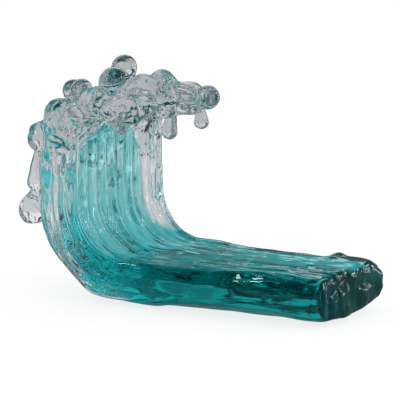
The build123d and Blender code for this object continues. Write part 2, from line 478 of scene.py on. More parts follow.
@dataclass(frozen=True)
class CrestFolds:
    """Crumpled folds on the crest and lip, from a little below the crest's seam."""

    profile: WaveProfile
    noise: FlowNoise
    late: tuple[str, ...]
    above_seam: Span = Span(-0.02, 0.012)
    bend: Relief = Relief(0.006, (0.03, 0.03, 0.03), 7.0)
    big: Relief = Relief(0.0048, (0.026, 0.015, 0.012), sunk=0.3)
    small: Relief = Relief(0.0012, (0.010, 0.007, 0.006), sunk=0.3)
    small_shift: float = 0.09
    facing: Span = Span(-0.3, 0.3)
    back_share: float = 0.5
    near: Span = Span(0.001, 0.004)
    near_share: float = 0.12

    def heights(self, place: np.ndarray, out: np.ndarray) -> np.ndarray:
        """Measure the folds.

        Args:
            place: places on the glass, one row each.
            out: directions out of the glass there.

        Returns:
            Heights along those directions.
        """
        x, y, z = place.T
        crest = self.above_seam.ease(z - self.profile.seam)
        bend = self.bend.rise(self.noise, x, y, z)
        big = self.big.rise(self.noise, x + bend, y - bend, z + bend)
        small = self.small.rise(self.noise, x - bend + self.small_shift, y + bend, z - bend)
        front = self.back_share + (1.0 - self.back_share) * self.facing.ease(out @ np.array(TO_LENS))
        return crest * front * self._spared(place, crest) * (big + small)

    def _spared(self, place: np.ndarray, crest: np.ndarray) -> np.ndarray:
        """Spare the late bits, which stay round.

        Args:
            place: places on the glass, one row each.
            crest: how far each place is on the crest.

        Returns:
            Share of the folding that each place takes.
        """
        gathered = bmesh.new()
        for name in self.late:
            gathered.from_mesh(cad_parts[name].data)
        tree = BVHTree.FromBMesh(gathered)
        gathered.free()
        gaps = np.full(len(place), self.near.high)
        for index in np.flatnonzero(crest > 0.0):
            gap = tree.find_nearest(Vector(place[index]), self.near.high)[3]
            if gap is not None:
                gaps[index] = gap
        return self.near_share + (1.0 - self.near_share) * self.near.share(gaps)


@dataclass(frozen=True)
class CasingSkin:
    """Flow marks on the clear back and sides of the wall, and the trimmed heel."""

    profile: WaveProfile
    noise: FlowNoise
    skin: Span = Span(0.004, 0.008)
    front: Span = Span(0.02, -0.02)
    below_seam: Span = Span(-0.02, 0.0)
    mark: Relief = Relief(0.0026, (0.034, 0.02, 0.011))
    small_mark: Relief = Relief(0.0010, (0.016, 0.014, 0.006))
    upper: Span = Span(0.07, 0.11)
    upper_mark: Relief = Relief(0.0018, (0.009, 0.014, 0.012))
    back: Span = Span(0.022, 0.034)
    flute: Relief = Relief(0.0012, (0.024, 0.014), 4.8)
    fine_flute: Relief = Relief(0.0002, (0.009, 0.008), 8.8)
    trim_start: Span = Span(0.05, 0.45)
    trim_end: Span = Span(0.75, 1.35)
    trim_skin: Span = Span(0.026, 0.036)
    trim_depth: float = 0.0018

    def heights(self, place: np.ndarray) -> np.ndarray:
        """Measure the flow marks.

        Args:
            place: places on the glass, one row each.

        Returns:
            Heights out of the glass.
        """
        along, depth = self.profile.flow(place)
        x, y, z = place.T
        wall = self.skin.ease(depth) * self.front.ease(x) * self.below_seam.fade(z - self.profile.seam)
        marks = self.mark.rise(self.noise, along, y, depth)
        marks += self.small_mark.rise(self.noise, along, y, depth)
        marks += self.upper.ease(z) * self.upper_mark.rise(self.noise, along, y, depth)
        flutes = self.flute.rise(self.noise, along, y) + self.fine_flute.rise(self.noise, along, y)
        turn = np.arctan2(self.profile.curl_x - x, self.profile.curl_z - z)
        trim = self.trim_start.ease(turn) * self.trim_end.fade(turn)
        trim = trim * (z < self.profile.curl_z) * self.trim_skin.ease(depth)
        return wall * (marks + self.back.ease(depth) * flutes) - self.trim_depth * trim


@dataclass(frozen=True)
class BrokenEnd:
    """Shell marks on the broken end of the tail."""

    noise: FlowNoise
    start: Span = Span(0.118, 0.128)
    facing: Span = Span(0.45, 0.8)
    shell: Relief = Relief(0.0034, (0.016, 0.018), 2.7, sunk=0.25)
    chip: Relief = Relief(0.0007, (0.005, 0.006), 5.1)

    def heights(self, place: np.ndarray, out: np.ndarray) -> np.ndarray:
        """Measure the shell marks.

        Args:
            place: places on the glass, one row each.
            out: directions out of the glass there.

        Returns:
            Heights along those directions.
        """
        x, y, z = place.T
        end = self.start.ease(x) * self.facing.ease(out[:, 0])
        return end * (self.shell.rise(self.noise, y, z) + self.chip.rise(self.noise, y, z))


@dataclass
class HotGlass:
    """The whole wave as one soft mass, before it is parted into its pieces.

    Sizes and places are in metres. Melts, softening and polish are rounds of smoothing.
    """

    profile: WaveProfile
    noise: FlowNoise
    late: tuple[str, ...]
    weld: float = 1e-6
    voxel: float = 0.0009
    melt: int = 120
    melt_above_seam: Span = Span(-0.022, -0.002)
    melt_swell: float = 0.0006
    heel_melt: int = 60
    heel_height: Span = Span(0.03, 0.018)
    heel_front: Span = Span(0.01, -0.02)
    edge_side: Span = Span(0.035, 0.045)
    edge_start: Span = Span(-0.04, -0.01)
    end_fill: float = 0.112
    end_melt: int = 140
    end_start: Span = Span(0.105, 0.135)
    softening: int = 24
    polish: int = 5
    underside: float = -0.7
    foot: Span = Span(0.001, 0.004)

    def build(self) -> bpy.types.Object:
        """Melt the lumps into the crest, drop the late bits on and work the surface.

        Returns:
            The whole wave.
        """
        early = [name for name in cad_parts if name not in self.late]
        obj = self._fuse(early)
        self._fill_end(obj)
        self._remesh(obj)
        self._melt_crest(obj)
        self._soften_edges(obj)
        whole = self._fuse(self.late, obj)
        discard(obj)
        self._remesh(whole)
        self._smooth(whole, self.softening)
        self._work(whole)
        self._smooth(whole, self.polish)
        return whole

    def _fuse(self, names: Iterable[str], base: bpy.types.Object | None = None) -> bpy.types.Object:
        """Join copies of CAD meshes into one object.

        Args:
            names: CAD pieces to join.
            base: glass that they are joined to.

        Returns:
            The joined object.
        """
        gathered = bmesh.new()
        if base is not None:
            gathered.from_mesh(base.data)
        for name in names:
            gathered.from_mesh(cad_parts[name].data)
        bmesh.ops.remove_doubles(gathered, verts=gathered.verts, dist=self.weld)
        mesh = bpy.data.meshes.new("hot_glass")
        gathered.to_mesh(mesh)
        gathered.free()
        return new_object("hot_glass", mesh)

    def _fill_end(self, obj: bpy.types.Object) -> None:
        """Fill the hollows between the chips, so that the broken end bulges.

        Args:
            obj: glass to fill.
        """
        work = bmesh.new()
        for name in ("teal_body", "clear_casing"):
            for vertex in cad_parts[name].data.vertices:
                if vertex.co.x > self.end_fill:
                    work.verts.new(vertex.co)
        bmesh.ops.remove_doubles(work, verts=work.verts, dist=self.weld)
        wrap_hull(work)
        work.from_mesh(obj.data)
        work.to_mesh(obj.data)
        work.free()

    def _remesh(self, obj: bpy.types.Object) -> None:
        """Give the glass an even mesh."""
        self._modify(obj, "REMESH", mode="VOXEL", voxel_size=self.voxel, use_smooth_shade=True)

    def _melt_crest(self, obj: bpy.types.Object) -> None:
        """Let the lumps sink into the crest.

        Args:
            obj: glass to melt.
        """
        z = vertex_places(obj.data)[:, 2]
        hot = self._group(obj, "hot", self.melt_above_seam.share(z - self.profile.seam))
        self._smooth(obj, self.melt, hot)
        self._modify(obj, "DISPLACE", strength=self.melt_swell, mid_level=0.0, vertex_group=hot)

    def _soften_edges(self, obj: bpy.types.Object) -> None:
        """Round the heel of the curl, the edges of the tail and then its broken end.

        Args:
            obj: glass to round.
        """
        x, y, z = vertex_places(obj.data).T
        heel = self.heel_height.share(z) * self.heel_front.share(x)
        edge = self.edge_side.share(np.abs(y)) * self.edge_start.share(x)
        self._smooth(obj, self.heel_melt, self._group(obj, "heel", np.maximum(heel, edge)))
        x = vertex_places(obj.data)[:, 0]
        self._smooth(obj, self.end_melt, self._group(obj, "end", self.end_start.share(x)))

    @staticmethod
    def _group(obj: bpy.types.Object, name: str, shares: np.ndarray) -> str:
        """Make a vertex group.

        Args:
            obj: glass that gets the group.
            name: name of the group.
            shares: weight of each vertex.

        Returns:
            The group's name.
        """
        group = obj.vertex_groups.new(name=name)
        for index, share in enumerate(shares.tolist()):
            group.add([index], share, "REPLACE")
        return group.name

    def _smooth(self, obj: bpy.types.Object, rounds: int, group: str = "") -> None:
        """Smooth the glass, or the part of it that is in a vertex group."""
        self._modify(obj, "SMOOTH", factor=0.5, iterations=rounds, vertex_group=group)

    @staticmethod
    def _modify(obj: bpy.types.Object, kind: str, **values: object) -> None:
        """Add a modifier, set it and apply it.

        Args:
            obj: object to change.
            kind: type of the modifier.
            values: the modifier's settings.
        """
        select_only(obj)
        modifier = obj.modifiers.new(kind.lower(), kind)
        modifier.show_viewport = False
        for name, value in values.items():
            setattr(modifier, name, value)
        bpy.ops.object.modifier_apply(modifier=modifier.name)

    def _work(self, obj: bpy.types.Object) -> None:
        """Move the surface as combing, flowing and breaking moved the real one.

        Args:
            obj: glass to work.
        """
        mesh = obj.data
        place = vertex_places(mesh)
        normals = np.empty(place.size, dtype=np.float32)
        mesh.vertex_normals.foreach_get("vector", normals)
        out = normals.reshape(-1, 3).astype(float)
        tail = TailSkin(self.noise)
        move = CombedFace(self.profile, self.noise).heights(place, out) + tail.heights(place, out)
        move += CrestFolds(self.profile, self.noise, self.late).heights(place, out)
        move += CasingSkin(self.profile, self.noise).heights(place)
        move += BrokenEnd(self.noise).heights(place, out)
        ground = np.where(out[:, 2] < self.underside, self.foot.ease(place[:, 2]), 1.0)
        place = place + out * (move * ground)[:, None]
        place[:, 2] = np.maximum(place[:, 2] + tail.lower_edges(place), 0.0)
        mesh.vertices.foreach_set("co", place.ravel())
        mesh.update()


class GlassShears:
    """Parts glass along cutters and marks the faces where pieces stay fused."""

    SEAM = "fused_seam"

    def __init__(self) -> None:
        """Make the material that marks fused faces; no finished piece keeps it."""
        self.seam = bpy.data.materials.new(self.SEAM)

    def prism(self, outline: Outline, axis: int, low: float, high: float) -> bpy.types.Object:
        """Extrude an outline into a closed cutter.

        Args:
            outline: corners in the two other axes, in order.
            axis: axis of the extrusion, 0 for X, 1 for Y, 2 for Z.
            low: start along the axis.
            high: end along the axis.

        Returns:
            The cutter.
        """
        corners = [list(p) for p in outline]
        for p in corners:
            p.insert(axis, low)
        mesh = bpy.data.meshes.new("cutter")
        mesh.from_pydata(corners, [], [list(range(len(corners)))])
        obj = new_object("cutter", mesh)
        move = [0.0, 0.0, 0.0]
        move[axis] = high - low
        select_only(obj)
        bpy.ops.object.mode_set(mode="EDIT")
        bpy.ops.mesh.select_all(action="SELECT")
        bpy.ops.mesh.extrude_region_move(TRANSFORM_OT_translate={"value": move})
        bpy.ops.mesh.select_all(action="SELECT")
        bpy.ops.mesh.normals_make_consistent(inside=False)
        bpy.ops.object.mode_set(mode="OBJECT")
        mesh.materials.append(self.seam)
        return obj

    def husk(self, node: str, margin: float, thinning: int = 3) -> bpy.types.Object:
        """Wrap one CAD piece in a close convex cutter.

        Args:
            node: name of the CAD piece.
            margin: room left round it.
            thinning: one vertex in so many is used.

        Returns:
            The cutter.
        """
        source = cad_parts[node].data
        middle = sum((v.co for v in source.vertices), Vector()) / len(source.vertices)
        shell = bmesh.new()
        for vertex in list(source.vertices)[::thinning]:
            arm = vertex.co - middle
            shell.verts.new(middle + arm * (1.0 + margin / max(arm.length, margin)))
        wrap_hull(shell)
        mesh = bpy.data.meshes.new("husk")
        shell.to_mesh(mesh)
        shell.free()
        mesh.materials.append(self.seam)
        return new_object("husk", mesh)

    def part(self, body: bpy.types.Object, cutter: bpy.types.Object, name: str) -> bpy.types.Object:
        """Take what a cutter holds out of a body.

        Args:
            body: glass to cut, left with the rest.
            cutter: closed cutter, kept.
            name: name of the new piece.

        Returns:
            The glass inside the cutter.
        """
        piece = new_object(name, body.data.copy())
        self.cut(piece, cutter, Cut.INSIDE)
        self.cut(body, cutter, Cut.OUTSIDE)
        return piece

    def union(self, cutters: list[bpy.types.Object]) -> bpy.types.Object:
        """Unite copies of cutters into one cutter.

        Args:
            cutters: closed cutters, kept.

        Returns:
            The united cutter.
        """
        united = new_object("zone", cutters[0].data.copy())
        for cutter in cutters[1:]:
            self.cut(united, cutter, Cut.BOTH)
        return united

    @staticmethod
    def cut(obj: bpy.types.Object, cutter: bpy.types.Object, side: Cut) -> None:
        """Cut an object.

        Args:
            obj: object to cut.
            cutter: closed cutter, kept.
            side: what is kept of the object.
        """
        select_only(obj)
        boolean = obj.modifiers.new("cut", "BOOLEAN")
        boolean.show_viewport = False
        boolean.operation = side.value
        boolean.solver = "MANIFOLD"
        boolean.material_mode = "TRANSFER"
        boolean.object = cutter
        bpy.ops.object.modifier_apply(modifier=boolean.name)


class Graph:
    """Adds and links nodes in one tree."""

    def __init__(self, tree: bpy.types.NodeTree) -> None:
        """Start with an empty tree."""
        self.tree = tree
        tree.nodes.clear()

    def add(self, kind: str, **values: object) -> bpy.types.Node:
        """Add a node.

        Args:
            kind: node type.
            values: attributes, or inputs named with spaces as underscores or i and a number.
                Sockets are linked.

        Returns:
            The node.
        """
        node = self.tree.nodes.new(kind)
        for name, value in values.items():
            if hasattr(node, name):
                setattr(node, name, value)
                continue
            key = int(name[1:]) if name[0] == "i" and name[1:].isdigit() else name.replace("_", " ")
            if isinstance(value, Socket):
                self.link(value, node.inputs[key])
            else:
                node.inputs[key].default_value = value
        return node

    def link(self, source: Socket, target: Socket) -> None:
        """Link two sockets."""
        self.tree.links.new(source, target)

    def math(self, operation: str, a: object, b: object = 0.0) -> Socket:
        """Work out one or two values, given as numbers or sockets."""
        return self.add("ShaderNodeMath", operation=operation, i0=a, i1=b).outputs[0]

    def dot(self, aim: Socket, direction: Triple) -> Socket:
        """Measure how far an aim points along a direction."""
        node = self.add("ShaderNodeVectorMath", operation="DOT_PRODUCT", i0=aim, i1=direction)
        return node.outputs["Value"]

    def ramp(self, value: Socket, span: Span = UNIT, to: tuple[object, object] = UNIT) -> Socket:
        """Carry a value from one span to another, held at both ends.

        Args:
            value: value to carry.
            span: where it starts and ends.
            to: results at the two ends, as numbers or sockets.

        Returns:
            The result.
        """
        node = self.add("ShaderNodeMapRange", Value=value, From_Min=span.low, From_Max=span.high)
        for name, end in zip(("To Min", "To Max"), to):
            if isinstance(end, Socket):
                self.link(end, node.inputs[name])
            else:
                node.inputs[name].default_value = end
        return node.outputs[0]

    def noise(self, place: Socket, scale: object, detail: float, distortion: float = 0.0) -> Socket:
        """Add soft noise.

        Args:
            place: where it is sampled.
            scale: waves to the unit, as a number or a socket.
            detail: finer layers added to it.
            distortion: how far it is stirred.

        Returns:
            Values between 0 and 1.
        """
        values = {"Vector": place, "Scale": scale, "Detail": detail, "Distortion": distortion}
        return self.add("ShaderNodeTexNoise", **values).outputs[0]

    def mix(self, share: Socket, first: object, second: Triple, blend: str = "MIX") -> Socket:
        """Mix two colours.

        Args:
            share: how far the second one counts.
            first: colour, or a socket with one.
            second: colour.
            blend: how the second one is laid over the first.

        Returns:
            The mixed colour.
        """
        base = first if isinstance(first, Socket) else (*first, 1.0)
        node = self.add("ShaderNodeMix", data_type="RGBA", blend_type=blend, i0=share, i6=base)
        node.inputs[7].default_value = (*second, 1.0)
        return node.outputs[2]


class SharedEffects:
    """Node groups used by both kinds of glass."""

    # Scale, detail and distortion of the broad and of the fine streaks.
    STREAKS = ((1.0, 1.0, 0.4), (3.1, 4.0, 0.8))
    STREAK_EDGE = Span(0.36, 0.64)
    WAVER_DISTORTION = 0.6
    SMEAR_SCALE = 70.0
    SMEAR_DETAIL = 5.0
    SMEAR_EDGE = Span(0.45, 0.75)

    def __init__(self) -> None:
        """Build each group once."""
        self.streaks = self._streaks()
        self.skin = self._skin()

    @staticmethod
    def _group(
        name: str, inputs: dict[str, str], outputs: tuple[str, ...]
    ) -> tuple[bpy.types.NodeTree, Graph]:
        """Make an empty group with its sockets.

        Args:
            name: name of the group.
            inputs: names and kinds of the inputs.
            outputs: names of the outputs, which are values.

        Returns:
            The group and the graph that fills it.
        """
        tree = bpy.data.node_groups.new(name, "ShaderNodeTree")
        for socket, kind in inputs.items():
            tree.interface.new_socket(socket, in_out="INPUT", socket_type=kind)
        for socket in outputs:
            tree.interface.new_socket(socket, in_out="OUTPUT", socket_type="NodeSocketFloat")
        return tree, Graph(tree)

    def _streaks(self) -> bpy.types.NodeTree:
        """Build long streaks that follow the flow of the glass.

        Returns:
            The group.
        """
        inputs = {"Flow": "NodeSocketVector", "Along": "NodeSocketFloat", "Across": "NodeSocketFloat"}
        tree, graph = self._group("flow_streaks", inputs, ("Broad", "Fine"))
        flow, along, across = graph.add("NodeGroupInput").outputs[:3]
        stretch = graph.add("ShaderNodeCombineXYZ", i0=along, i1=across, i2=across).outputs[0]
        place = graph.add("ShaderNodeVectorMath", operation="MULTIPLY", i0=flow, i1=stretch).outputs[0]
        result = graph.add("NodeGroupOutput")
        for socket, (scale, detail, distortion) in zip(result.inputs, self.STREAKS):
            waves = graph.noise(place, scale, detail, distortion)
            graph.link(graph.ramp(waves, self.STREAK_EDGE), socket)
        return tree

    def _skin(self) -> bpy.types.NodeTree:
        """Build fire-polished skin: a soft waver for bump and a little haze for roughness.

        Returns:
            The group.
        """
        inputs = {"Scale": "NodeSocketFloat", "Haze": "NodeSocketFloat"}
        tree, graph = self._group("glass_skin", inputs, ("Height", "Roughness"))
        scale, haze = graph.add("NodeGroupInput").outputs[:2]
        place = graph.add("ShaderNodeTexCoord").outputs["Object"]
        waver = graph.noise(place, scale, 0.0, self.WAVER_DISTORTION)
        smear = graph.ramp(graph.noise(place, self.SMEAR_SCALE, self.SMEAR_DETAIL), self.SMEAR_EDGE)
        result = graph.add("NodeGroupOutput")
        graph.link(waver, result.inputs[0])
        graph.link(graph.math("MULTIPLY", smear, haze), result.inputs[1])
        return tree


@dataclass(frozen=True)
class GlassFinish:
    """One kind of hot-worked glass."""

    name: str
    tint: Triple
    # Paler tint along the streaks: part streaky colour, part painted highlight lines.
    streak_and_highlight_tint: Triple
    along: float
    across: float
    bump: float
    bump_depth: float = 0.001
    skin_scale: float = 70.0
    haze: float = 0.006
    groove: float = 0.0
    worked: Span = Span(0.07, -0.03)
    worked_tint: Triple = (1.0, 1.0, 1.0)
    # Painted shade: a darker tint laid in the valleys between the combed ribs.
    valley_shade_span: Span = Span(0.60, 0.05)
    valley_shade_tint: Triple | None = None
    body_colour: Triple | None = None
    density: float = 0.0
    ior: float = 1.5

    def material(self, effects: SharedEffects) -> bpy.types.Material:
        """Build the material.

        Args:
            effects: shared node groups.

        Returns:
            The glass material.
        """
        made = bpy.data.materials.new(self.name)
        made.use_nodes = True
        graph = Graph(made.node_tree)
        flow = graph.add("ShaderNodeAttribute", attribute_name="flow").outputs["Vector"]
        streaks = graph.add("ShaderNodeGroup", node_tree=effects.streaks, Flow=flow)
        streaks.inputs["Along"].default_value = self.along
        streaks.inputs["Across"].default_value = self.across
        skin = graph.add("ShaderNodeGroup", node_tree=effects.skin, Scale=self.skin_scale, Haze=self.haze)
        grooves = graph.math("MULTIPLY", streaks.outputs["Broad"], self.groove)
        height = graph.math("ADD", skin.outputs["Height"], grooves)
        bump = graph.add("ShaderNodeBump", Strength=self.bump, Distance=self.bump_depth, Height=height)
        glass = graph.add(
            "ShaderNodeBsdfPrincipled",
            Base_Color=self._colour(graph, flow, streaks),
            Roughness=skin.outputs["Roughness"],
            IOR=self.ior,
            Transmission_Weight=1.0,
            Normal=bump.outputs[0],
        )
        fused = graph.add("ShaderNodeAttribute", attribute_name="fused").outputs["Fac"]
        through = graph.add("ShaderNodeBsdfTransparent")
        surface = graph.add("ShaderNodeMixShader", i0=fused, i1=glass.outputs[0], i2=through.outputs[0])
        output = graph.add("ShaderNodeOutputMaterial", Surface=surface.outputs[0])
        if self.body_colour is not None:
            body = graph.add("ShaderNodeVolumeAbsorption", Color=(*self.body_colour, 1.0))
            body.inputs["Density"].default_value = self.density
            graph.link(body.outputs[0], output.inputs["Volume"])
        return made

    def _colour(self, graph: Graph, flow: Socket, streaks: bpy.types.Node) -> Socket:
        """Tint the surface along its streaks, which are partly painted highlight lines, where it was
        worked, and with painted shade in the valleys between the ribs.

        Args:
            graph: graph of the material.
            flow: place along, across and through the bent glass.
            streaks: the group of streaks.

        Returns:
            The colour.
        """
        # The streaks lighten the tint: part streaky colour, part painted highlight lines.
        share = graph.math("MULTIPLY", streaks.outputs["Broad"], streaks.outputs["Fine"])
        colour = graph.mix(share, self.tint, self.streak_and_highlight_tint)
        along, lane = graph.add("ShaderNodeSeparateXYZ", Vector=flow).outputs[:2]
        worked = graph.ramp(along, self.worked)
        colour = graph.mix(worked, colour, self.worked_tint, "MULTIPLY")
        if self.valley_shade_tint is None:
            return colour
        # Painted shade: the valleys between the ribs are multiplied by a darker teal.
        turn = graph.math("MULTIPLY", lane, math.pi / COMB_PITCH)
        crown = graph.math("ABSOLUTE", graph.math("COSINE", turn))
        valley_shade = graph.math("MULTIPLY", graph.ramp(crown, self.valley_shade_span), worked)
        return graph.mix(valley_shade, colour, self.valley_shade_tint, "MULTIPLY")


CLEAR = GlassFinish(
    name=Slot.CLEAR.value,
    tint=(0.78, 0.86, 0.87),
    streak_and_highlight_tint=(0.96, 0.93, 0.94),
    along=30.0,
    across=160.0,
    bump=0.05,
    worked=Span(-0.09, -0.125),
    worked_tint=(0.76, 0.78, 0.80),
)
TEAL = GlassFinish(
    name=Slot.TEAL.value,
    tint=(0.52, 0.85, 0.85),
    # White streaks on the teal: part paler colour, part painted highlight lines.
    streak_and_highlight_tint=(1.0, 1.0, 1.0),
    along=22.0,
    across=260.0,
    bump=0.10,
    groove=0.6,
    worked_tint=(0.70, 0.84, 0.87),
    # Painted shade in the valleys between the ribs.
    valley_shade_tint=(0.22, 0.56, 0.60),
    body_colour=(0.06, 0.865, 0.865),
    density=66.0,
)


@dataclass
class GlassPieces:
    """Base of the sub-assemblies: pieces of one wave and how they are finished."""

    profile: WaveProfile
    shears: GlassShears
    finishes: dict[Slot, bpy.types.Material]
    noise: FlowNoise
    made: dict[str, bpy.types.Object] = field(default_factory=dict)
    crumb: int = 60
    recess: float = 0.00004
    sliver: float = 1e-7

    def dress(self) -> None:
        """Finish every piece of the sub-assembly and attach it to the root body."""
        for node, obj in self.made.items():
            slot = Slot.TEAL if node == "teal_body" else Slot.CLEAR
            self._finish(obj, slot)
            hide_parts(node)
            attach(obj, "root")

    def _finish(self, obj: bpy.types.Object, slot: Slot) -> None:
        """Clean the cuts, mark the fused faces, store the flow and set the glass.

        Args:
            obj: piece to finish.
            slot: which glass it is.
        """
        mesh = obj.data
        seams = {i for i, m in enumerate(mesh.materials) if m == self.shears.seam}
        work = bmesh.new()
        work.from_mesh(mesh)
        bmesh.ops.dissolve_degenerate(work, dist=self.sliver, edges=work.edges)
        bmesh.ops.triangulate(work, faces=[f for f in work.faces if len(f.verts) > 4])
        self._drop_crumbs(work)
        self._mark_fused(work, seams, recessed=slot is Slot.CLEAR)
        work.to_mesh(mesh)
        work.free()
        mesh.materials.clear()
        mesh.materials.append(self.finishes[slot])
        place = vertex_places(mesh)
        along, depth = self.profile.flow(place)
        lane = comb_lane(self.noise, along, place[:, 1])
        rows = np.stack([along, lane, depth], axis=1).astype(np.float32)
        flow = mesh.attributes.new("flow", "FLOAT_VECTOR", "POINT")
        flow.data.foreach_set("vector", rows.ravel())

    def _mark_fused(self, work: bmesh.types.BMesh, seams: set[int], recessed: bool) -> None:
        """Mark the faces that stay fused and keep their rims crisp.

        Args:
            work: the piece.
            seams: material indices that mark fused faces.
            recessed: whether fused faces are set back, so that they never meet their neighbour's.
        """
        fused = work.faces.layers.float.new("fused")
        for face in work.faces:
            face[fused] = 1.0 if face.material_index in seams else 0.0
            face.smooth = True
            face.material_index = 0
        if recessed:
            inner = [v for v in work.verts if v.link_faces and all(f[fused] > 0.5 for f in v.link_faces)]
            for vertex in inner:
                vertex.co -= vertex.normal * self.recess
        for edge in work.edges:
            if len({f[fused] for f in edge.link_faces}) > 1:
                edge.smooth = False

    def _drop_crumbs(self, work: bmesh.types.BMesh) -> None:
        """Drop the specks that cuts leave behind, and close the gaps they tear.

        Args:
            work: the piece.
        """
        seen: set[bmesh.types.BMVert] = set()
        crumbs: list[bmesh.types.BMVert] = []
        for start in work.verts:
            if start in seen:
                continue
            seen.add(start)
            island = [start]
            for vertex in island:
                near = {edge.other_vert(vertex) for edge in vertex.link_edges} - seen
                seen |= near
                island.extend(near)
            if len(island) < self.crumb:
                crumbs.extend(island)
        bmesh.ops.delete(work, geom=crumbs, context="VERTS")
        bmesh.ops.delete(work, geom=[e for e in work.edges if e.is_wire], context="EDGES")
        bmesh.ops.holes_fill(work, edges=[e for e in work.edges if e.is_boundary], sides=0)


@dataclass
class HotBits(GlassPieces):
    """Lumps, balls and drips dropped on the crest."""

    names: tuple[str, ...] = ()
    margin: float = 0.0012

    def build(self, body: bpy.types.Object) -> None:
        """Part each bit from the body.

        Args:
            body: the whole wave, left without the bits.
        """
        husks = {name: self.shears.husk(name, self.margin) for name in self.names}
        zone = self.shears.union(list(husks.values()))
        rest = self.shears.part(body, zone, "bits")
        discard(zone)
        for name, husk in husks.items():
            self.made[name] = self.shears.part(rest, husk, name)
            discard(husk)
        discard(rest)


@dataclass
class WaveBody(GlassPieces):
    """Colour layer, casing, rims and crest of the wave."""

    layer_half: float = 0.15
    reach: float = 0.3
    ceiling: float = 0.4

    def build(self, body: bpy.types.Object) -> None:
        """Part the body into its fused layers.

        Args:
            body: the wave without its bits, used up.
        """
        layer = self.shears.prism(self.profile.layer_outline(), 1, -self.layer_half, self.layer_half)
        arch = self.shears.prism(self.profile.arch_outline(), 0, -self.reach, self.reach)
        colour = new_object("colour", layer.data.copy())
        self.shears.cut(colour, arch, Cut.INSIDE)
        self.made["teal_body"] = self.shears.part(body, colour, "teal_body")
        above = self.shears.prism(self._square(self.reach), 2, self.profile.seam, self.ceiling)
        self.made["crest_lip"] = self.shears.part(body, above, "crest_lip")
        rims = self.shears.part(body, layer, "far_rim")
        near = self.shears.prism(self._square(self.ceiling), 1, -self.reach, 0.0)
        self.made["near_rim"] = self.shears.part(rims, near, "near_rim")
        self.made["far_rim"] = rims
        body.name = body.data.name = "clear_casing"
        self.made["clear_casing"] = body
        for cutter in (layer, arch, colour, above, near):
            discard(cutter)

    def _square(self, top: float) -> Outline:
        """Outline that holds the whole wave, up to a top."""
        side = self.reach
        return [(-side, -side), (side, -side), (side, top), (-side, top)]


@dataclass(frozen=True)
class Softbox:
    """One rectangular lamp: place and size in metres, power in watts."""

    name: str
    place: Triple
    size: tuple[float, float]
    power: float


